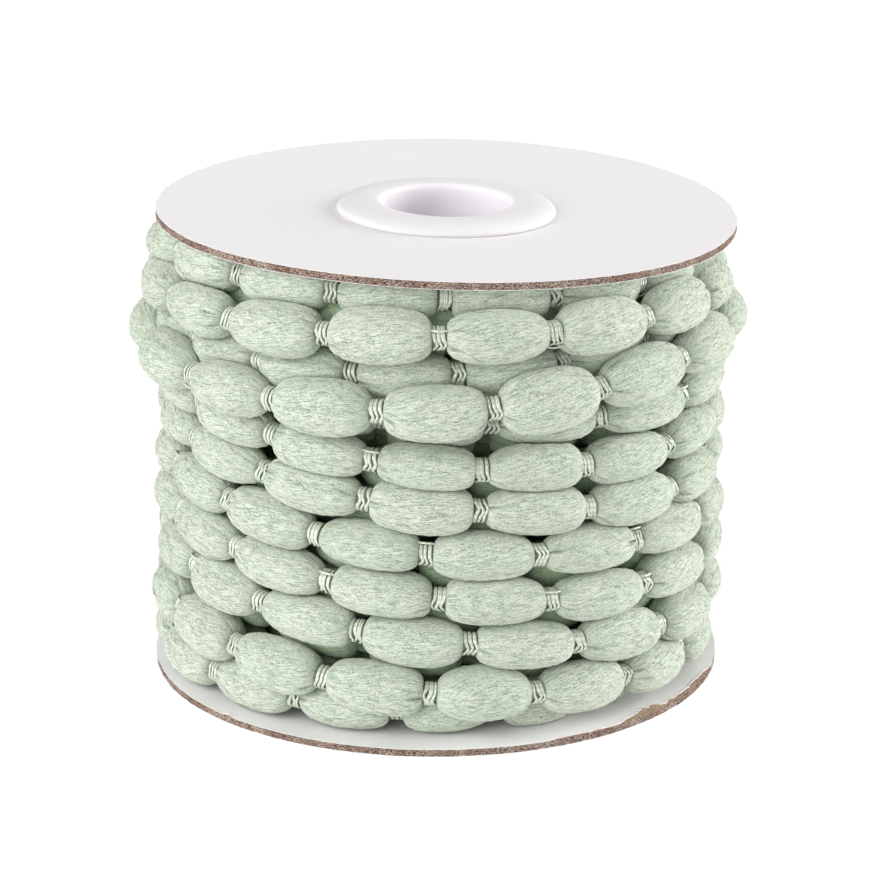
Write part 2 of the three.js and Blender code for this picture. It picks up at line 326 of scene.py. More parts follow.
def around(angle, radius, height):
    """A place on the roll, from its angle in degrees, radius and height."""
    turn = np.radians(angle)
    return np.stack([radius * np.sin(turn), -radius * np.cos(turn), height], axis=-1)


def unit(vectors):
    return vectors / np.linalg.norm(vectors, axis=-1, keepdims=True)


def frames_along(line, angles):
    """Centres, and the directions along, outwards and across, of a chain at these angles."""
    centre = around(angles, *line(angles))
    along = unit(around(angles + 0.5, *line(angles + 0.5)) - around(angles - 0.5, *line(angles - 0.5)))
    radial = around(angles, 1.0, np.zeros_like(angles))
    outward = unit(radial - along * (radial * along).sum(axis=-1, keepdims=True))
    return centre, along, outward, np.cross(along, outward)


front = np.array([0.0])
print("the front of the top turn is at", around(front, *outer_line(front)).round(1), "mm")

# %% [markdown]
# Each pom-pom is a bundle of plush yarn, full in the middle and drawn in to a neck at both ends. The
# whole chain is one long tube of rings, which swells and narrows. A rounded outline whose fullness
# differs from end to end and from pom-pom to pom-pom gives the blunt barrel shape.

# %% Form of a pom-pom
POMPOM_RADIUS = 3.75
NECK_RADIUS = 1.4
NECK_LENGTH = 2.05
FULLNESS = (1.95, 2.75)
SKEW = 0.1
SKEW_LIMIT = 0.2
RADIUS_SPREAD = 0.025
OUTER_REACH = math.radians(125)


def section_angles(outer_steps, inner_steps):
    """Angles round a section, close together on the outside, which shows, and coarser on the inside."""
    outer = np.linspace(-OUTER_REACH, OUTER_REACH, outer_steps + 1)
    inner = np.linspace(OUTER_REACH, 2 * math.pi - OUTER_REACH, inner_steps + 1)[1:-1]
    return np.concatenate([outer, inner])


def chain_rings(line, necks, radii, ring_count, seed):
    """Rings of a chain: angle, thickness, place in the pom-pom from -1 to 1, swell, and its half length."""
    random = np.random.default_rng(seed)
    count = len(necks) - 1
    middle = (necks[1:] + necks[:-1]) / 2
    radius, _ = line(middle)
    neck_turn = np.degrees(NECK_LENGTH / radius)
    half_turn = (np.diff(necks) - neck_turn) / 2
    place = np.sin(np.linspace(-1, 1, ring_count) * math.pi / 2)
    fullness = np.where(place < 0, *random.uniform(*FULLNESS, (2, count, 1)))
    skew = np.clip(random.normal(0, SKEW, count), -SKEW_LIMIT, SKEW_LIMIT)[:, None]
    skewed = place + skew * (1 - place**2)
    swell = (1 - np.abs(skewed) ** fullness) ** (1 / fullness)
    full = (radii * random.normal(1.0, RADIUS_SPREAD, count))[:, None]
    thick = NECK_RADIUS + (full - NECK_RADIUS) * swell
    angle = middle[:, None] + half_turn[:, None] * place
    return angle, thick, np.broadcast_to(place, angle.shape), swell, half_turn * np.radians(radius)


print("a pom-pom is", 2 * POMPOM_RADIUS, "mm across")

# %% [markdown]
# No two pom-poms are twins. Each has a few broad lumps and lengthwise creases. At its ends the plush is
# gathered into the neck, in folds that start at different places, and where the stitch is locked the
# thread pulls a deeper notch. All of it is seeded, so every run makes the same roll.

# %% Lumps, creases and gathers
LUMPS = ((2, 0.11), (3, 0.08), (5, 0.05))  # waves round the section, and their usual height in mm
LUMP_TWIST = 0.8
CREASES = 3
CREASE_REACH = 1.9
CREASE_SLANT = 0.25
CREASE_DEPTH = (0.12, 0.18)
CREASE_DEPTH_LIMIT = 0.5
CREASE_WIDTH = 0.14
CREASE_LENGTH = 0.55
GATHER_SHARE = 0.16
GATHER_DEPTH = 0.6
GATHER_START = (0.45, 0.85)
GATHER_RAMP = 0.25
LOCK_DEPTH = 1.5
LOCK_START = 0.68
LOCK_RAMP = 0.27


def creased(section, place, swell, count, seed, locks):
    """How far a pom-pom's surface stands in or out, and the depth of its gathers, both in mm."""
    random = np.random.default_rng(seed)
    each = (count, 1, 1)
    relief = np.zeros(np.broadcast_shapes(section.shape, place.shape))
    gathers = np.zeros_like(relief)
    for waves, size in LUMPS:
        phase = random.uniform(0, 2 * math.pi, each)
        height = random.normal(0, size, each)
        relief += height * np.cos(waves * section + phase + LUMP_TWIST * place)
    for _ in range(CREASES):
        where = random.uniform(-CREASE_REACH, CREASE_REACH, each)
        slant = random.normal(0.0, CREASE_SLANT, each)
        middle = random.uniform(-0.9, 0.9, each)
        depth = np.clip(random.normal(*CREASE_DEPTH, each), 0, CREASE_DEPTH_LIMIT)
        across = np.angle(np.exp(1j * (section - where - slant * place)))
        narrow = np.exp(-((across / CREASE_WIDTH) ** 2))
        relief -= depth * narrow * np.exp(-(((place - middle) / CREASE_LENGTH) ** 2))
    for end in (-1, 1):
        drawn = random.random((count, 1, len(section))) < GATHER_SHARE
        depth = GATHER_DEPTH * drawn * random.uniform(0.2, 1.0, drawn.shape)
        start = random.uniform(*GATHER_START, drawn.shape)
        gathers += depth * np.clip((end * place - start) / GATHER_RAMP, 0, 1)
    for end, where, pulls in locks:
        nearest = np.abs(section - where[:, None]).argmin(axis=-1)
        notch = (np.arange(len(section)) == nearest[:, None]) & pulls[:, None]
        gathers += LOCK_DEPTH * notch[:, None, :] * np.clip((end * place - LOCK_START) / LOCK_RAMP, 0, 1)
    gathers *= swell
    return relief * swell - gathers, gathers


print("gathers are up to", GATHER_DEPTH, "mm deep, notches", LOCK_DEPTH, "mm")

# %% [markdown]
# The upper disc isn't flat: it is drawn in at its middle like a shallow dish, and two of its sides hang a
# little. The turns under it give way to its underside, so its bend is worked out before them.

# %% Bend of the upper disc
DISC_THICKNESS = 1.2
DISC_RADIUS = 45.0
SPOOL_HEIGHT = 73.4
UPPER_SHIFT = 1.7
UPPER_TILT = math.radians(1.47)
DISH = 0.95
SAG = 0.14
BOW = 0.34
BOW_ANGLE = math.radians(-17)


def upper_warp(x, y):
    """How far the upper disc stands above or below a flat one."""
    share = (x**2 + y**2) / DISC_RADIUS**2
    bend = BOW * np.cos(2 * (np.arctan2(x, -y) - BOW_ANGLE))
    return DISH * (share - 1) + (bend - SAG) * share


def upper_underside(points):
    """Height of the upper disc's underside over these points."""
    x = points[..., 0] - UPPER_SHIFT
    return SPOOL_HEIGHT - DISC_THICKNESS - x * math.tan(UPPER_TILT) + upper_warp(x, points[..., 1])


print("the upper disc's middle lies", round(-float(upper_warp(0.0, 0.0)), 2), "mm below a flat one")

# %% [markdown]
# Where two turns press on each other, neither keeps its round section: each gives way up to the plane in
# which the two round sections would meet. The same happens under the discs. A simulation could press
# them, but for so many soft things it would take far longer than this rule. A soft limit pulls the points
# in, and leaves the fine dark seam between the turns that shows all round the roll.

# %% Turns that press on each other
PRESS_SOFTNESS = 0.22
OUT_OF_REACH = 1e3
LEAST_APART = 1e-6  # nothing is divided by zero where the chain has no turn before it


def soft_limit(value, limit, softness=PRESS_SOFTNESS):
    """The lower of value and limit, with a rounded change from one to the other."""
    return np.minimum(value, limit) - softness * np.log1p(np.exp(-np.abs(value - limit) / softness))


def pressed(points, line, angle, thick):
    """Points of a chain's rings, drawn in where the turn above, the turn below or a disc is in the way."""
    flat_angle, flat_thick = angle.ravel(), thick.ravel()
    radius, height = line(angle)
    radial = around(angle, 1.0, np.zeros_like(angle))[..., None, :]
    out = (points * radial).sum(axis=-1) - radius[..., None]
    rise = points[..., 2] - height[..., None]
    moved_out, moved_up = np.zeros_like(out), np.zeros_like(rise)
    for turn in (-360, 360):
        real = (angle + turn > flat_angle[0]) & (angle + turn < flat_angle[-1])
        other_radius, other_height = line(angle + turn)
        other_thick = np.interp(angle + turn, flat_angle, flat_thick)
        apart = np.maximum(np.hypot(other_radius - radius, other_height - height), LEAST_APART)
        to_out, to_up = (other_radius - radius) / apart, (other_height - height) / apart
        plane = (apart**2 + thick**2 - other_thick**2) / (2 * apart)
        plane = np.where(real & (apart < thick + other_thick), plane, OUT_OF_REACH)[..., None]
        reach = out * to_out[..., None] + rise * to_up[..., None]
        give = np.where(reach > 0, soft_limit(reach, plane) - reach, 0)
        moved_out += give * to_out[..., None]
        moved_up += give * to_up[..., None]
    moved = points + moved_out[..., None] * radial
    moved[..., 2] += moved_up
    moved[..., 2] = soft_limit(moved[..., 2], upper_underside(moved))
    moved[..., 2] = -soft_limit(-moved[..., 2], -DISC_THICKNESS)
    return moved


print("1 mm past a limit becomes", round(float(soft_limit(1.0, 0.0)), 3), "mm")

# %% [markdown]
# A chain is put together from all of that: rings along its line that wander a little, with lumps and
# gathers, pressed where something is in the way. Each point also keeps what its finish reads later: how far
# it is along the pom-pom and round it, how near the neck is, the tone of the whole pom-pom, and how deep it
# is gathered.

# %% Points of a chain
WANDER = 0.12
PATTERN_STEP = 40.0  # sets the fibre pattern of each pom-pom apart from that of the next, in mm


def chain_points(line, necks, radii, ring_count, section, seed, press=True, locks=()):
    """Points of a chain as pom-poms by rings by places round the section, with what its finish reads."""
    angle, thick, place, swell, half_length = chain_rings(line, necks, radii, ring_count, seed)
    count = len(angle)
    random = np.random.default_rng(seed + 1)
    centre, _, outward, across = frames_along(line, angle)
    aside = random.normal(0, WANDER, (count, 1, 2)) * swell[..., None]
    centre = centre + aside[..., :1] * outward + aside[..., 1:] * across
    relief, gathers = creased(section, place[..., None], swell[..., None], count, seed + 2, locks)
    reach = thick[..., None] + relief
    ring = np.cos(section)[:, None] * outward[..., None, :]
    ring = ring + np.sin(section)[:, None] * across[..., None, :]
    points = centre[..., None, :] + reach[..., None] * ring
    if press:
        points = pressed(points, line, angle, thick)
    length = (place * half_length[:, None] + PATTERN_STEP * np.arange(count)[:, None])[..., None]
    round_it = POMPOM_RADIUS * np.cos(section), POMPOM_RADIUS * np.sin(section)
    fibre = np.stack(np.broadcast_arrays(length, *round_it), axis=-1)
    tone = random.normal(0, 1, (count, 1, 1))
    coat = np.stack(np.broadcast_arrays(np.abs(place)[..., None] + 0 * section, tone, gathers), axis=-1)
    return points, fibre, coat


print("fibre patterns of neighbours start", PATTERN_STEP, "mm apart")

# %% [markdown]
# The yarn is polyester microfibre plush. Its fibres lie along the pom-pom with a slight twist, and draw
# together at the necks. To the eye that is a matt, soft surface, full of short light and dark strokes,
# paler where fibres stand up and catch the light. The strokes are noise stretched along the fibre: each
# pom-pom carries its own coordinates in millimetres, along it and round it, so the strokes follow the
# form. A fibre is some 0.02 mm thick; the strokes are drawn as tufts of 0.1 mm, the finest that show at
# this size.

# %% Plush yarn
FIBRE_RELIEF = 0.14 * MM
# Each layer of noise: twist in radians per mm, length and width of its grains in mm, and detail.
FIBRE_LAYERS = (
    (0.05, 1.5, 0.11, 0.0),
    (0.01, 0.32, 0.095, 0.0),
    (0.06, 5.0, 0.55, 0.0),
    (0.0, 2.2, 0.5, 0.0),
    (0.0, 5.0, 2.6, 2.0),
)


def plush_yarn(name, green, pale, bright, dark, deep):
    """Plush from its two ground colours, its bright and dark fibres, and the painted shade in its gathers
    and at its necks.
    """
    material = new_material(name)
    fibre = add_node(material, "Attribute", attribute_name="fibre").outputs["Vector"]
    coat = add_node(material, "Attribute", attribute_name="coat").outputs["Vector"]
    to_neck, tone, gathers = add_node(material, "SeparateXYZ", {0: coat}).outputs
    along = add_node(material, "SeparateXYZ", {0: fibre}).outputs[0]
    layers = []
    for twist, length, width, detail in FIBRE_LAYERS:
        turn = add_node(material, "Math", {0: along, 1: twist}, operation="MULTIPLY").outputs[0]
        to_turn = {"Vector": fibre, "Angle": turn}
        twisted = add_node(material, "VectorRotate", to_turn, rotation_type="X_AXIS").outputs[0]
        to_count = {0: twisted, 1: (1 / length, 1 / width, 1 / width)}
        grains = add_node(material, "VectorMath", to_count, operation="MULTIPLY").outputs[0]
        to_draw = {"Vector": grains, "Scale": 1.0, "Detail": detail, "Roughness": 0.6}
        layers.append(add_node(material, "TexNoise", to_draw).outputs[0])
    slanted, straight, tuft, broken, cloud = layers
    grain = add_node(material, "Math", {0: slanted, 1: straight}, operation="ADD").outputs[0]
    # A dark stroke lies where the tufts' noise passes its middle, and only in some places.
    off_middle = add_node(material, "Math", {0: tuft, 1: 0.5}, operation="SUBTRACT").outputs[0]
    off_seam = add_node(material, "Math", {0: off_middle}, operation="ABSOLUTE").outputs[0]
    seam = add_node(material, "MapRange", {0: off_seam, 1: 0.02, 2: 0.07, 3: 1.0, 4: 0.0}).outputs[0]
    gate = add_node(material, "MapRange", {0: broken, 1: 0.5, 2: 0.62, 3: 0.0, 4: 0.42}).outputs[0]
    stroke = add_node(material, "Math", {0: seam, 1: gate}, operation="MULTIPLY").outputs[0]
    to_tone = {0: tone, 1: 0.05, 2: cloud}
    toned = add_node(material, "Math", to_tone, operation="MULTIPLY_ADD").outputs[0]
    mottle = add_node(material, "MapRange", {0: toned, 1: 0.36, 2: 0.64, 3: 0.0, 4: 1.0}).outputs[0]
    lit = add_node(material, "MapRange", {0: grain, 1: 1.0, 2: 1.3, 3: 0.0, 4: 0.8}).outputs[0]
    shaded = add_node(material, "MapRange", {0: grain, 1: 0.7, 2: 0.98, 3: 1.0, 4: 0.0}).outputs[0]
    # Painted shade, in the deep tint: darker in the gathers at the ends, where the folds shade each other.
    fold_shade = add_node(material, "MapRange", {0: gathers, 1: 0.08, 2: 0.55, 3: 0.0, 4: 0.75}).outputs[0]
    # Painted shade, in the deep tint: darker right next to each neck, in the shade under the thread.
    neck_shade = add_node(material, "MapRange", {0: to_neck, 1: 0.985, 2: 1.0, 3: 0.0, 4: 0.6}).outputs[0]
    shades = ((mottle, pale), (lit, bright), (shaded, dark), (stroke, dark), (fold_shade, deep), (neck_shade, deep))
    colour = linear(green)
    for share, tint in shades:
        tints = {0: share, 6: colour, 7: linear(tint)}
        colour = add_node(material, "Mix", tints, data_type="RGBA").outputs[2]
    to_raise = {0: stroke, 1: -0.4, 2: grain}
    height = add_node(material, "Math", to_raise, operation="MULTIPLY_ADD").outputs[0]
    bump = add_node(material, "Bump", {"Strength": 0.55, "Distance": FIBRE_RELIEF, "Height": height})
    shader = add_node(
        material,
        "BsdfPrincipled",
        {
            "Base Color": colour,
            "Roughness": 0.85,
            "Specular IOR Level": 0.25,
            "Sheen Weight": 0.6,
            "Sheen Roughness": 0.5,
            "Sheen Tint": linear("#ecefe3"),
            "Normal": bump.outputs[0],
        },
    )
    add_node(material, "OutputMaterial", {"Surface": shader.outputs[0]})
    print(name, "has", len(material.node_tree.nodes), "nodes")
    return material


# The last colour of each plush is its painted shade, for the gathers and next to the necks.
sage_plush = plush_yarn("sage_microfibre_plush", "#b9c6b3", "#c4c9b9", "#dce0d6", "#83977f", "#6c8465")
# A darker, greener copy of the same plush for the turns underneath: painted shade.
painted_shade_plush = plush_yarn(
    "sage_microfibre_plush_painted_shade", "#aec5a3", "#b5caa9", "#c0d1b5", "#7d9972", "#62795a"
)

# %% [markdown]
# The outer turns are the pom-poms that show. On the real roll a machine ties each one off, and the lock
# of its stitch lands anywhere on the outside. The locks' places are drawn here, because they shape the
# pom-poms as well as the thread. The chain is cut into three meshes to keep each one small.

# %% Outer turns of pom-poms
POMPOM_RINGS = 23
OUTER_STEPS = 34
OUTER_SECTION = section_angles(OUTER_STEPS, 6)
CHAIN_PIECES = 3
LOCK_TURNS = (-0.5, 0.9)
LOCK_SIDES = [0.2, 0.8]

random = np.random.default_rng(31)
lock_turn = random.uniform(*LOCK_TURNS, len(OUTER_NECKS))
lock_side = random.choice([-1, 1], len(OUTER_NECKS), p=LOCK_SIDES)
locks = [(-1, lock_turn[:-1], lock_side[:-1] > 0), (1, lock_turn[1:], lock_side[1:] < 0)]
outer_points, outer_fibre, outer_coat = chain_points(
    outer_line, OUTER_NECKS, OUTER_RADII, POMPOM_RINGS, OUTER_SECTION, seed=11, locks=locks
)
for part, chosen in enumerate(np.array_split(np.arange(len(outer_points)), CHAIN_PIECES)):
    rows = len(chosen) * POMPOM_RINGS
    columns = len(OUTER_SECTION)
    pompoms = joined_mesh(
        f"pompoms_{part + 1}",
        outer_points[chosen],
        shut_tube_faces(rows, columns),
        sage_plush,
        {"fibre": outer_fibre[chosen], "coat": outer_coat[chosen]},
    )
    stands_for(pompoms, "plush_trim", "wound_trim")

# %% [markdown]
# Whatever lies on a pom-pom has to follow its lumps. Its rings form a grid, so a place along it and a turn
# round it lead to one small face of that grid, whose sides give the place and the direction out of it.

# %% Places on the pom-poms


def surface_at(points, place, turn):
    """Places on pom-poms and the directions out of them, from a place along and a turn round each."""
    row = (np.arcsin(np.clip(place, -1, 1)) * 2 / math.pi + 1) / 2 * (POMPOM_RINGS - 1)
    column = (turn + OUTER_REACH) / (2 * OUTER_REACH) * OUTER_STEPS
    low_row = np.clip(row.astype(int), 0, POMPOM_RINGS - 2)
    low_column = np.clip(column.astype(int), 0, OUTER_STEPS - 1)
    pompom = np.arange(len(points))[:, None]
    corner = points[pompom, low_row, low_column]
    down = points[pompom, low_row + 1, low_column] - corner
    beside = points[pompom, low_row, low_column + 1] - corner
    out = unit(np.cross(beside, down))
    return corner + (row - low_row)[..., None] * down + (column - low_column)[..., None] * beside, out


at_middle = np.zeros((len(outer_points), 1))
outermost, _ = surface_at(outer_points, at_middle, at_middle)
print("the outermost middle of a pom-pom is", np.hypot(*outermost[..., :2].T).max().round(1), "mm out")

# %% [markdown]
# Some fibres stand free of the rest. Each is a fine spindle: two points and a thin waist of three corners
# between them, lying along the yarn just above its surface. They catch the light one by one and soften
# the outline. A few have a free end that stands off. They are drawn 0.09 mm thick, coarser than real ones,
# so that they show at this size.

# %% Free fibres
FIBRES = 220
FIBRE_PIECES = 2
FIBRE_RADIUS = 0.045
FIBRE_PLACE = 0.93
FIBRE_TURN = 1.95
FIBRE_HALF = (0.07, 0.19)
FIBRE_SLANT = (0.10, 0.09)
ROOT_DEPTH = 0.02
ARCH_HEIGHT = 0.09
FREE_END_SHARE = 0.12
FREE_END_HEIGHT = 0.16
FIBRE_PATTERN = 8  # how far apart fibres read the pattern, so that each has its own shade
random = np.random.default_rng(17)
shape = (len(outer_points), FIBRES)
fibre_place = random.uniform(-FIBRE_PLACE, FIBRE_PLACE, shape)
fibre_turn = random.uniform(-FIBRE_TURN, FIBRE_TURN, shape)
fibre_half = random.uniform(*FIBRE_HALF, shape)
fibre_slant = random.normal(*FIBRE_SLANT, shape)
first, first_out = surface_at(outer_points, fibre_place - fibre_half, fibre_turn - fibre_slant)
middle, middle_out = surface_at(outer_points, fibre_place, fibre_turn)
last, last_out = surface_at(outer_points, fibre_place + fibre_half, fibre_turn + fibre_slant)
first = first - ROOT_DEPTH * first_out
middle = middle + random.uniform(0.0, ARCH_HEIGHT, shape)[..., None] * middle_out
end_height = np.where(random.random(shape) < FREE_END_SHARE, FREE_END_HEIGHT, -ROOT_DEPTH)
last = last + end_height[..., None] * last_out
sideways = unit(np.cross(last - first, middle_out))
waist = [
    middle + FIBRE_RADIUS * middle_out,
    middle - FIBRE_RADIUS * (0.5 * middle_out + 0.87 * sideways),
    middle - FIBRE_RADIUS * (0.5 * middle_out - 0.87 * sideways),
]
fibre_points = np.stack([first, *waist, last], axis=-2)
corners = fibre_points.shape[-2]
spindle = np.array([[0, 2, 1], [0, 3, 2], [0, 1, 3], [4, 1, 2], [4, 2, 3], [4, 3, 1]])
pattern_start = PATTERN_STEP * np.arange(shape[0])[:, None]
fibre_marks = np.stack(
    np.broadcast_arrays(pattern_start, FIBRE_PATTERN * fibre_place, FIBRE_PATTERN * fibre_turn), axis=-1
)
for part, chosen in enumerate(np.array_split(np.arange(shape[0]), FIBRE_PIECES)):
    count = len(chosen) * FIBRES
    fibres = joined_mesh(
        f"free_fibres_{part + 1}",
        fibre_points[chosen],
        [(spindle[None] + corners * np.arange(count)[:, None, None]).reshape(-1, 3)],
        sage_plush,
        {"fibre": np.repeat(fibre_marks[chosen], corners, axis=1), "coat": np.zeros((corners * count, 3))},
    )
    stands_for(fibres, "plush_trim", "wound_trim")

# %% [markdown]
# Through the gaps between necks the turns underneath show, dark in their own shade. They are made like
# the outer ones but coarser, and lie in the hollows between one outer turn and the next, with one more
# turn under the upper disc. Their plush is a darker, greener copy of the outer one: painted shade, for
# light that reaches them only after bouncing from fibre to fibre.

# %% Inner turns
INNER_DEPTH = 5.8
INNER_PITCH = 25.3
INNER_LEAD = 330
INNER_LEAD_DEPTH = 1.4
INNER_LEAD_BLEND = 20
INNER_TOP = 66.5
INNER_RINGS = 11
INNER_SECTION = section_angles(18, 4)


def inner_line(angle):
    """The turns underneath lie in the hollows between the outer turns, and the first one deeper."""
    radius, height = outer_line(angle)
    next_radius, next_height = outer_line(angle + 360)
    lead_end = [OUTER_NECKS[0] - INNER_LEAD_BLEND, OUTER_NECKS[0] + INNER_LEAD_BLEND]
    deeper = np.interp(angle, lead_end, [INNER_LEAD_DEPTH, 0.0])
    inner_height = np.minimum((height + next_height) / 2, INNER_TOP)
    return (radius + next_radius) / 2 - INNER_DEPTH - deeper, inner_height


inner_necks = np.arange(OUTER_NECKS[0] - INNER_LEAD, OUTER_NECKS[-1] - 360, INNER_PITCH)
inner_points, inner_fibre, inner_coat = chain_points(
    inner_line, inner_necks, POMPOM_RADIUS, INNER_RINGS, INNER_SECTION, seed=23, press=False
)
inner_turns = joined_mesh(
    "inner_turns",
    inner_points,
    shut_tube_faces(len(inner_points) * INNER_RINGS, len(INNER_SECTION)),
    # the darker copy of the plush: painted shade
    painted_shade_plush,
    {"fibre": inner_fibre, "coat": inner_coat},
)
stands_for(inner_turns, "plush_trim", "wound_trim")

# %% [markdown]
# Deeper still, single pom-poms can't be told apart. A closed ring with a coiled swell on its outside
# stands for all those turns, and lets no light through. It leans with the spool, as the core does further
# on.

# %% Deepest turns
DEEP_RADIUS = 32.0
DEEP_SWELL = 1.0
DEEP_RISE = 6.4
DEEP_STEPS = 96
DEEP_ROWS = 70
DEEP_PATTERN = 0.5
BARREL_CLEAR = 12.9
INSIDE_GAP = 0.3
inside_low = DISC_THICKNESS + INSIDE_GAP
inside_high = SPOOL_HEIGHT - DISC_THICKNESS - DISH - INSIDE_GAP


def lean(points):
    """The spool leans a little: its middle line runs from the lower disc's middle to the upper one's."""
    moved = points.copy()
    moved[..., 0] += UPPER_SHIFT * points[..., 2] / SPOOL_HEIGHT
    moved[..., 2] -= points[..., 0] * math.tan(UPPER_TILT) * points[..., 2] / SPOOL_HEIGHT
    return moved


deep_heights = np.linspace(inside_low, inside_high, DEEP_ROWS)[:, None]
deep_angles = np.linspace(0, 360, DEEP_STEPS, endpoint=False)
deep_phase = 2 * math.pi * (deep_heights / DEEP_RISE + deep_angles / 360)
deep_level = np.zeros_like(deep_phase)
deep_outside = around(deep_angles, DEEP_RADIUS + DEEP_SWELL * np.cos(deep_phase), deep_heights + deep_level)
deep_inside = around(deep_angles, BARREL_CLEAR + deep_level[:2], deep_heights[[-1, 0]] + deep_level[:2])
deep_points = lean(np.concatenate([deep_outside[:1], deep_outside, deep_inside]))
deep_points[0] = deep_points[-1]
deep_fibre = np.stack(
    np.broadcast_arrays(DEEP_PATTERN * deep_angles, deep_points[..., 0], deep_points[..., 2]), axis=-1
)
deep_turns = joined_mesh(
    "deep_turns",
    deep_points,
    [tube_faces(len(deep_points), DEEP_STEPS)],
    # the darker copy of the plush: painted shade
    painted_shade_plush,
    {"fibre": deep_fibre, "coat": np.zeros_like(deep_points)},
    sharp=60,
)
stands_for(deep_turns, "plush_trim", "wound_trim")

# %% [markdown]
# A thread is a thin tube round a path, a little flattened where it lies on what it binds. Its path runs
# over necks, so one function leads from a turn round a neck and a shift along it to a place. Another
# measures how far along its strand each point is, for the twist of the thread.

# %% Tubes of thread
THREAD_RADIUS = 0.22
THREAD_FLAT = 0.75
THREAD_SIDES = 5


def tube_points(path, outward, radius, sides):
    """Rings of points round each path. Outward is roughly square to it, and sets where a ring starts."""
    along = unit(np.gradient(path, axis=-2))
    normal = unit(outward - along * (outward * along).sum(axis=-1, keepdims=True))
    beside = np.cross(along, normal)
    turn = np.arange(sides) * 2 * math.pi / sides
    flattened = THREAD_FLAT * np.cos(turn)[:, None] * normal[..., None, :]
    return path[..., None, :] + radius * (flattened + np.sin(turn)[:, None] * beside[..., None, :])


def ply_marks(path, sides):
    """For the twist of the thread: millimetres along each strand, and the share of the way round it."""
    steps = np.linalg.norm(np.diff(path, axis=-2), axis=-1)
    length = np.concatenate([np.zeros_like(steps[..., :1]), np.cumsum(steps, axis=-1)], axis=-1)[..., None]
    return np.stack(np.broadcast_arrays(length, np.arange(sides) / sides, 0.0), axis=-1)


def on_necks(centre, along, outward, across, turn, shift, reach):
    """Places on necks, and the directions outwards there, from a turn round a neck and a shift along it."""
    direction = np.cos(turn)[..., None] * outward + np.sin(turn)[..., None] * across
    return centre + shift[..., None] * along + reach[..., None] * direction, direction


print("thread is", 2 * THREAD_RADIUS, "mm wide and", round(2 * THREAD_RADIUS * THREAD_FLAT, 2), "mm thick")

# %% [markdown]
# Every neck is bound with three stitches of doubled thread. The two strands of a stitch lie side by side
# round the neck, and where the stitch is locked they run together in a V, shifted along the chain towards
# the pom-pom that has the notch. The locks sit at a different place round each neck.

# %% Binding thread
BOUND_RADIUS = 1.68
STITCHES = 3
STRANDS = 2 * STITCHES
STITCH_PITCH = 0.66
STITCH_WANDER = 0.14
STRAND_SPREAD = (0.06, 0.11)
STRAND_WANDER = 0.04
REACH_WANDER = 0.03
LOCK_SHIFT = 0.5
LOCK_BACK = 0.3
LOCK_WIDTH = 0.38
LOCK_HEIGHT = 0.12
THREAD_STEPS = 16
WRAP_REACH = math.radians(115)
neck_frames = [f[:, None, None, :] for f in frames_along(outer_line, OUTER_NECKS)]
neck_count = len(OUTER_NECKS)
each_strand = (neck_count, STRANDS, 1)
random = np.random.default_rng(37)
stitch_wander = random.normal(0, STITCH_WANDER, (neck_count, STITCHES, 1))
stitch_turn = lock_turn[:, None, None] + np.repeat(stitch_wander, 2, axis=1)
spread = random.uniform(*STRAND_SPREAD, each_strand)
stitch = (np.arange(STRANDS) // 2 - (STITCHES - 1) / 2)[None, :, None]
side = (np.arange(STRANDS) % 2 * 2 - 1)[None, :, None]
turn = np.linspace(-WRAP_REACH, WRAP_REACH, THREAD_STEPS + 1) + np.zeros(each_strand)
near_lock = np.exp(-(((turn - stitch_turn) / LOCK_WIDTH) ** 2))
lock_shift = LOCK_SHIFT * lock_side[:, None, None] * (near_lock - LOCK_BACK)
shift = STITCH_PITCH * stitch + spread * side * (1 - near_lock) + lock_shift
shift = shift + random.normal(0, STRAND_WANDER, each_strand)
reach = BOUND_RADIUS + LOCK_HEIGHT * near_lock + random.normal(0, REACH_WANDER, shift.shape[:2])[..., None]
thread_path, thread_out = on_necks(*neck_frames, turn, shift, reach)
print(neck_count, "necks, each with", STRANDS, "strands")

# %% [markdown]
# The thread is filament polyester, twisted from two plies: pale, smooth and shiny, so each strand has a
# bright line along it, broken up by the twist. The plies are drawn 0.8 mm apart along the strand, coarser
# than real ones, so that the twist shows at this size.

# %% Filament thread
PLY_PITCH = 0.8
PLY_RELIEF = 0.03 * MM
THREAD_PIECES = 2
filament = new_material("twisted_filament_polyester")
ply_place = add_node(filament, "Attribute", attribute_name="ply").outputs["Vector"]
along_strand, round_strand, _ = add_node(filament, "SeparateXYZ", {0: ply_place}).outputs
to_turns = {0: along_strand, 1: 1 / PLY_PITCH, 2: round_strand}
ply_turns = add_node(filament, "Math", to_turns, operation="MULTIPLY_ADD").outputs[0]
ply_angle = add_node(filament, "Math", {0: ply_turns, 1: 2 * math.pi}, operation="MULTIPLY").outputs[0]
ply_wave = add_node(filament, "Math", {0: ply_angle}, operation="SINE").outputs[0]
ply_shade = add_node(filament, "MapRange", {0: ply_wave, 1: -1.0, 2: 0.3, 3: 0.0, 4: 1.0}).outputs[0]
ply_tints = {0: ply_shade, 6: linear("#b6bfab"), 7: linear("#d9dfcf")}
ply_colour = add_node(filament, "Mix", ply_tints, data_type="RGBA").outputs[2]
ply_bump = add_node(filament, "Bump", {"Strength": 0.35, "Distance": PLY_RELIEF, "Height": ply_wave})
filament_shader = add_node(
    filament,
    "BsdfPrincipled",
    {
        "Base Color": ply_colour,
        "Roughness": 0.3,
        "Specular IOR Level": 0.9,
        "Coat Weight": 0.8,
        "Coat Roughness": 0.12,
        "Normal": ply_bump.outputs[0],
    },
)
add_node(filament, "OutputMaterial", {"Surface": filament_shader.outputs[0]})

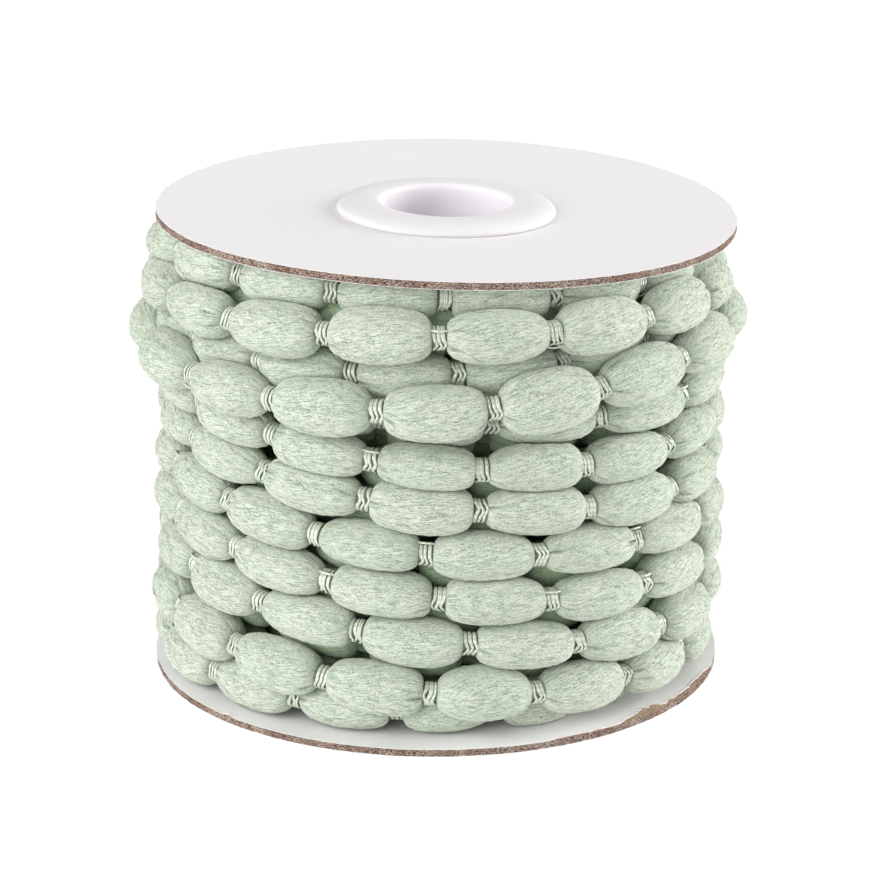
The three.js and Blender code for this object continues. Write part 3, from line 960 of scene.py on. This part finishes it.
thread_points = tube_points(thread_path, thread_out, THREAD_RADIUS, THREAD_SIDES)
thread_ply = ply_marks(thread_path, THREAD_SIDES)
for part, chosen in enumerate(np.array_split(np.arange(neck_count), THREAD_PIECES)):
    bindings = joined_mesh(
        f"bindings_{part + 1}",
        thread_points[chosen],
        shut_tube_faces(THREAD_STEPS + 1, THREAD_SIDES, len(chosen) * STRANDS),
        filament,
        {"ply": thread_ply[chosen]},
    )
    stands_for(bindings, "plush_trim", "wound_trim")

# %% [markdown]
# On some necks a strand that carries the chain shows as a short bow across the binding, more often above
# than below. It is the same thread, run along the neck from one pom-pom to the next.

# %% Carrier strands
CARRIER_SHARE = 0.25
CARRIER_SIDES = [0.65, 0.35]
CARRIER_STEPS = 8
CARRIER_HALF = 1.25
CARRIER_TURN = (0.7, 1.3)
CARRIER_SWAY = 0.12
CARRIER_SEAT = 1.6 * THREAD_RADIUS
CARRIER_RISE = 0.25
carried = np.flatnonzero(random.random(neck_count) < CARRIER_SHARE)
each_carrier = (len(carried), 1, 1)
along_bow = np.linspace(-1, 1, CARRIER_STEPS + 1)[None, None, :]
bow = 1 - along_bow**2
carrier_side = random.choice([-1, 1], each_carrier, p=CARRIER_SIDES)
carrier_turn = carrier_side * random.uniform(*CARRIER_TURN, each_carrier) + CARRIER_SWAY * bow
carrier_shift = CARRIER_HALF * along_bow + 0 * carrier_turn
carrier_reach = BOUND_RADIUS + CARRIER_SEAT + CARRIER_RISE * bow + 0 * carrier_turn
carried_frames = [f[carried] for f in neck_frames]
carrier_path, carrier_out = on_necks(*carried_frames, carrier_turn, carrier_shift, carrier_reach)
carriers = joined_mesh(
    "carrier_strands",
    tube_points(carrier_path, carrier_out, THREAD_RADIUS, THREAD_SIDES),
    shut_tube_faces(CARRIER_STEPS + 1, THREAD_SIDES, len(carried)),
    filament,
    {"ply": ply_marks(carrier_path, THREAD_SIDES)},
)
stands_for(carriers, "plush_trim", "wound_trim")

# %% [markdown]
# The discs are punched from grey chipboard with white paper on both faces. Punching leaves the edge raw:
# a rough, brown, fibrous band between two thin white lines. Board and papers are separate pieces here,
# each with an edge that wavers by a few hundredths of a millimetre. On the lower disc the upper paper is
# torn along the front right, and nicked at the front left, and its torn edge stands up a little.

# %% Form of the discs
HOLE_RADIUS = 11.9
PAPER_THICKNESS = 0.05
FACE_RADII = [HOLE_RADIUS, 20.0, 28.0, 36.0]
EDGE_STEPS = 720
WAVES = 40
TEAR_FRAY = (60, 300, 0.12)
# The lower disc's upper paper is torn back by these depths, in mm, at these angles.
TEAR_ANGLES = [-47, -45.2, -44, 22, 25, 33, 38, 41, 45, 48.8, 50.6, 52.5, 55, 60, 66, 71, 76]
TEAR_DEPTHS = [0.0, 0.5, 0.0, 0.0, 0.5, 0.4, 0.1, 0.7, 1.4, 2.1, 1.5, 0.4, 0.8, 0.6, 0.8, 0.5, 0.0]
disc_angles = np.linspace(0, 360, EDGE_STEPS, endpoint=False)


def waver(random, slowest, fastest, size):
    """A seeded uneven line round a disc in mm, from waves between so many a turn and so many."""
    line = np.zeros(EDGE_STEPS)
    waves = np.unique(np.geomspace(slowest, fastest, WAVES).astype(int))
    for wave in waves:
        height = random.normal(0, 1)
        line += height * np.cos(np.radians(wave * disc_angles) + random.uniform(0, 2 * math.pi))
    return size * line / math.sqrt(len(waves) / 2)


def disc_shell(edge_radii, edge_heights):
    """Points of a closed disc with a hole, from the radius and height of each row round its edge."""
    radii = FACE_RADII + list(edge_radii) + FACE_RADII[::-1]
    lower, upper = [[h] * len(FACE_RADII) for h in (edge_heights[0], edge_heights[-1])]
    heights = lower + list(edge_heights) + upper
    level = np.zeros(EDGE_STEPS)
    rows = [around(disc_angles, r + level, h + level) for r, h in zip(radii, heights)]
    return np.stack(rows + rows[:1])


def torn_back(random):
    """How far the paper is torn back at each step round the edge, in mm."""
    angle = (disc_angles + 180) % 360 - 180
    torn = np.interp(angle, TEAR_ANGLES, TEAR_DEPTHS)
    return torn * (1 + waver(random, *TEAR_FRAY))


def on_upper_end(points):
    """Moves a disc from the floor to its place at the top, off centre, tipped and bent."""
    tip = np.array(Matrix.Rotation(UPPER_TILT, 3, "Y"))
    lowered = points - np.array([0, 0, DISC_THICKNESS])
    lowered[..., 2] += upper_warp(points[..., 0], points[..., 1])
    return lowered @ tip.T + np.array([UPPER_SHIFT, 0, SPOOL_HEIGHT])


print("the paper is torn back by up to", max(TEAR_DEPTHS), "mm")

# %% [markdown]
# Chipboard is pressed from waste paper pulp: short grey and brown fibres that lie flat, in paler and
# darker patches a few millimetres wide. Its cut edge is matt, with specks some 0.3 mm long and 0.1 mm
# high. Where the paper is torn off, the top of the board shows a paler brown. Noise that is squashed flat
# gives such specks all the way round, without a seam.

# %% Chipboard
CHIP_LENGTH = 0.34
CHIP_HEIGHT = 0.12
CHIP_RELIEF = 0.12 * MM
PULP_PATCH = 4.0
TORN_SKIN = 0.08
board_top = DISC_THICKNESS - PAPER_THICKNESS
chipboard = new_material("raw_chipboard")
edge_place = add_node(chipboard, "Attribute", attribute_name="edge").outputs["Vector"]
to_chips = {0: edge_place, 1: (1 / CHIP_LENGTH, 1 / CHIP_LENGTH, 1 / CHIP_HEIGHT)}
chip_place = add_node(chipboard, "VectorMath", to_chips, operation="MULTIPLY").outputs[0]
chip_noise = {"Vector": chip_place, "Scale": 1.0, "Detail": 3.0, "Roughness": 0.7}
chips = add_node(chipboard, "TexNoise", chip_noise).outputs[0]
chip_shade = add_node(chipboard, "MapRange", {0: chips, 1: 0.43, 2: 0.58, 3: 0.0, 4: 1.0}).outputs[0]
patch_noise = {"Vector": edge_place, "Scale": 1 / PULP_PATCH, "Detail": 1.0}
patches = add_node(chipboard, "TexNoise", patch_noise).outputs[0]
pulp_shade = add_node(chipboard, "MapRange", {0: patches, 1: 0.35, 2: 0.65, 3: 0.0, 4: 1.0}).outputs[0]
pulp_tints = {0: pulp_shade, 6: linear("#a48b7c"), 7: linear("#c6b3a3")}
pulp = add_node(chipboard, "Mix", pulp_tints, data_type="RGBA").outputs[2]
chip_tints = {0: chip_shade, 6: linear("#3a2a25"), 7: pulp}
chip_colour = add_node(chipboard, "Mix", chip_tints, data_type="RGBA").outputs[2]
edge_height = add_node(chipboard, "SeparateXYZ", {0: edge_place}).outputs[2]
torn_range = {0: edge_height, 1: DISC_THICKNESS - TORN_SKIN, 2: board_top, 3: 0.0, 4: 0.45}
torn_share = add_node(chipboard, "MapRange", torn_range).outputs[0]
torn_tints = {0: torn_share, 6: chip_colour, 7: linear("#d0b298")}
board_colour = add_node(chipboard, "Mix", torn_tints, data_type="RGBA").outputs[2]
chip_bump = add_node(chipboard, "Bump", {"Strength": 0.9, "Distance": CHIP_RELIEF, "Height": chips})
board_shader = add_node(
    chipboard,
    "BsdfPrincipled",
    {
        "Base Color": board_colour,
        "Roughness": 0.95,
        "Specular IOR Level": 0.2,
        "Normal": chip_bump.outputs[0],
    },
)
add_node(chipboard, "OutputMaterial", {"Surface": board_shader.outputs[0]})
print(chipboard.name, "has", len(chipboard.node_tree.nodes), "nodes")

# %% [markdown]
# The paper is coated white, smooth and hardly shiny. The fibres in paper clump in clouds a millimetre or
# two wide, which show through the coat as a faint change of white. One noise of that size is enough: it
# tints the paper and raises it by a hundredth of a millimetre.

# %% Coated paper
PAPER_GRAIN = 1.6
PAPER_RELIEF = 0.01 * MM
white_paper = new_material("coated_white_paper")
paper_place = add_node(white_paper, "Attribute", attribute_name="edge").outputs["Vector"]
cloud_noise = {"Vector": paper_place, "Scale": 1 / PAPER_GRAIN, "Detail": 4.0, "Roughness": 0.6}
clouds = add_node(white_paper, "TexNoise", cloud_noise).outputs[0]
paper_shade = add_node(white_paper, "MapRange", {0: clouds, 1: 0.3, 2: 0.7, 3: 0.0, 4: 1.0}).outputs[0]
paper_tints = {0: paper_shade, 6: linear("#f1eeef"), 7: linear("#f4f1f2")}
paper_colour = add_node(white_paper, "Mix", paper_tints, data_type="RGBA").outputs[2]
paper_bump = add_node(white_paper, "Bump", {"Strength": 0.15, "Distance": PAPER_RELIEF, "Height": clouds})
paper_shader = add_node(
    white_paper,
    "BsdfPrincipled",
    {
        "Base Color": paper_colour,
        "Roughness": 0.6,
        "Specular IOR Level": 0.4,
        "Normal": paper_bump.outputs[0],
    },
)
add_node(white_paper, "OutputMaterial", {"Surface": paper_shader.outputs[0]})
print(white_paper.name, "has", len(white_paper.node_tree.nodes), "nodes")

# %% [markdown]
# Both discs are made alike, each from one board between two papers. The board's edge is ragged at every
# level of its thickness; the papers follow the same slow run-out of the punch with a finer waver of their
# own.

# %% Discs
EDGE_LEVELS = 6
BOARD_INSET = 0.1
PAPER_INSET = 0.02
FEATHER_HEIGHT = 0.14
FEATHER_WIDTH = 0.3
FEATHER_START = 0.3
# Each waver: the slowest and fastest of its waves, in waves a turn, and its usual size in mm.
RUN_OUT = (3, 60, 0.03)
RAGGED = (60, 400, 0.05)
PAPER_WAVER = (40, 300, 0.025)
FACES = {"under": (0.0, PAPER_THICKNESS), "over": (board_top, DISC_THICKNESS)}
for node_name, seed in (("lower_disc", 41), ("upper_disc", 43)):
    random = np.random.default_rng(seed)
    run_out = waver(random, *RUN_OUT)
    levels = np.linspace(PAPER_THICKNESS, board_top, EDGE_LEVELS)
    ragged = [DISC_RADIUS - BOARD_INSET + run_out + waver(random, *RAGGED) for _ in levels]
    shells = {f"{node_name}_board": (disc_shell(ragged, levels), chipboard)}
    for side_name, (low, high) in FACES.items():
        edge = DISC_RADIUS - PAPER_INSET + run_out + waver(random, *PAPER_WAVER)
        sheet = disc_shell([edge, edge], [low, high])
        if (node_name, side_name) == ("lower_disc", "over"):
            torn = torn_back(random)
            lip = high + FEATHER_HEIGHT * np.clip(torn / FEATHER_START, 0, 1)
            edge = edge - torn
            flat = edge - FEATHER_WIDTH
            sheet = disc_shell([edge, edge, flat, flat - FEATHER_WIDTH], [low, lip, high, high])
        shells[f"{node_name}_paper_{side_name}"] = (sheet, white_paper)
    for name, (points, material) in shells.items():
        placed = on_upper_end(points) if node_name == "upper_disc" else points
        piece = joined_mesh(
            name,
            placed,
            [tube_faces(len(points), EDGE_STEPS)],
            material,
            {"edge": points},
            sharp=40,
        )
        stands_for(piece, "board", node_name)

# %% [markdown]
# The core is a moulded plastic tube. Its upper end is rolled out over the disc into a wide low rim, and
# the mouth of the bore is rounded. It is turned from one closed profile, as on a lathe, and then leans
# with the spool.

# %% Form of the core
BORE_RADIUS = 10.0
SPIGOT_RADIUS = 11.6
BARREL_RADIUS = 12.6
RIM_RADIUS = 17.0
RIM_ROUND = 1.5
RIM_ROUND_WIDTH = 3.8
RIM_HEIGHT = 1.7
MOUTH_ROUND = 0.9
RIM_GAP = 0.03
CORE_STEPS = 160


def round_points(radius, height, across, up, start, end, steps):
    """Points of part of an oval in the radius and height plane, from one angle to another."""
    turn = np.radians(np.linspace(start, end, steps))
    return np.stack([radius + across * np.cos(turn), height + up * np.sin(turn)], axis=-1)


rim_foot = SPOOL_HEIGHT + upper_warp(0.0, -RIM_RADIUS) + RIM_GAP
rim_top = rim_foot + RIM_HEIGHT
rim_middle = RIM_RADIUS - RIM_ROUND_WIDTH
rim_roll = round_points(rim_middle, rim_top - RIM_ROUND, RIM_ROUND_WIDTH, RIM_ROUND, 0, 90, 14)
mouth_middle = BORE_RADIUS + MOUTH_ROUND
mouth_roll = round_points(mouth_middle, rim_top - MOUTH_ROUND, MOUTH_ROUND, MOUTH_ROUND, 90, 180, 12)
core_profile = np.concatenate(
    [
        [[BORE_RADIUS, 0], [SPIGOT_RADIUS, 0], [SPIGOT_RADIUS, inside_low]],
        [[BARREL_RADIUS, inside_low], [BARREL_RADIUS, inside_high]],
        [[SPIGOT_RADIUS, inside_high], [SPIGOT_RADIUS, rim_foot], [RIM_RADIUS, rim_foot]],
        rim_roll,
        mouth_roll,
        [[BORE_RADIUS, 0]],
    ]
)
core_angles = np.linspace(0, 360, CORE_STEPS, endpoint=False)
core_level = np.zeros(CORE_STEPS)
core_points = np.stack([around(core_angles, r + core_level, h + core_level) for r, h in core_profile])

print("the core is", round(float(rim_top), 1), "mm high before it leans")

# %% [markdown]
# The plastic is probably polypropylene, moulded in one piece: satin white, with soft edges. It is a little
# translucent: light that enters it comes out again a few millimetres on, which softens the shading of the
# rim. A mould leaves a grain of about 0.1 mm. It is drawn coarser, at 0.35 mm, to show here.

# %% Core of moulded plastic
PLASTIC_GRAIN = 0.35
PLASTIC_RELIEF = 0.006 * MM
PLASTIC_GLOW = 2.5 * MM
white_plastic = new_material("moulded_polypropylene")
plastic_place = add_node(white_plastic, "Attribute", attribute_name="edge").outputs["Vector"]
mould_noise = {"Vector": plastic_place, "Scale": 1 / PLASTIC_GRAIN, "Detail": 2.0}
mould_grain = add_node(white_plastic, "TexNoise", mould_noise).outputs[0]
satin = add_node(white_plastic, "MapRange", {0: mould_grain, 1: 0.0, 2: 1.0, 3: 0.5, 4: 0.6}).outputs[0]
to_raise = {"Strength": 0.25, "Distance": PLASTIC_RELIEF, "Height": mould_grain}
plastic_bump = add_node(white_plastic, "Bump", to_raise).outputs[0]
plastic_shader = add_node(
    white_plastic,
    "BsdfPrincipled",
    {
        "Base Color": linear("#ece8ec"),
        "Roughness": satin,
        "IOR": 1.49,
        "Specular IOR Level": 0.25,
        "Subsurface Weight": 0.7,
        "Subsurface Radius": (1.0, 1.0, 1.0),
        "Subsurface Scale": PLASTIC_GLOW,
        "Normal": plastic_bump,
    },
)
add_node(white_plastic, "OutputMaterial", {"Surface": plastic_shader.outputs[0]})
core = joined_mesh(
    "flared_core",
    lean(core_points),
    [tube_faces(len(core_points), CORE_STEPS)],
    white_plastic,
    {"edge": core_points},
    sharp=40,
)
stands_for(core, "moulded_plastic", "core")
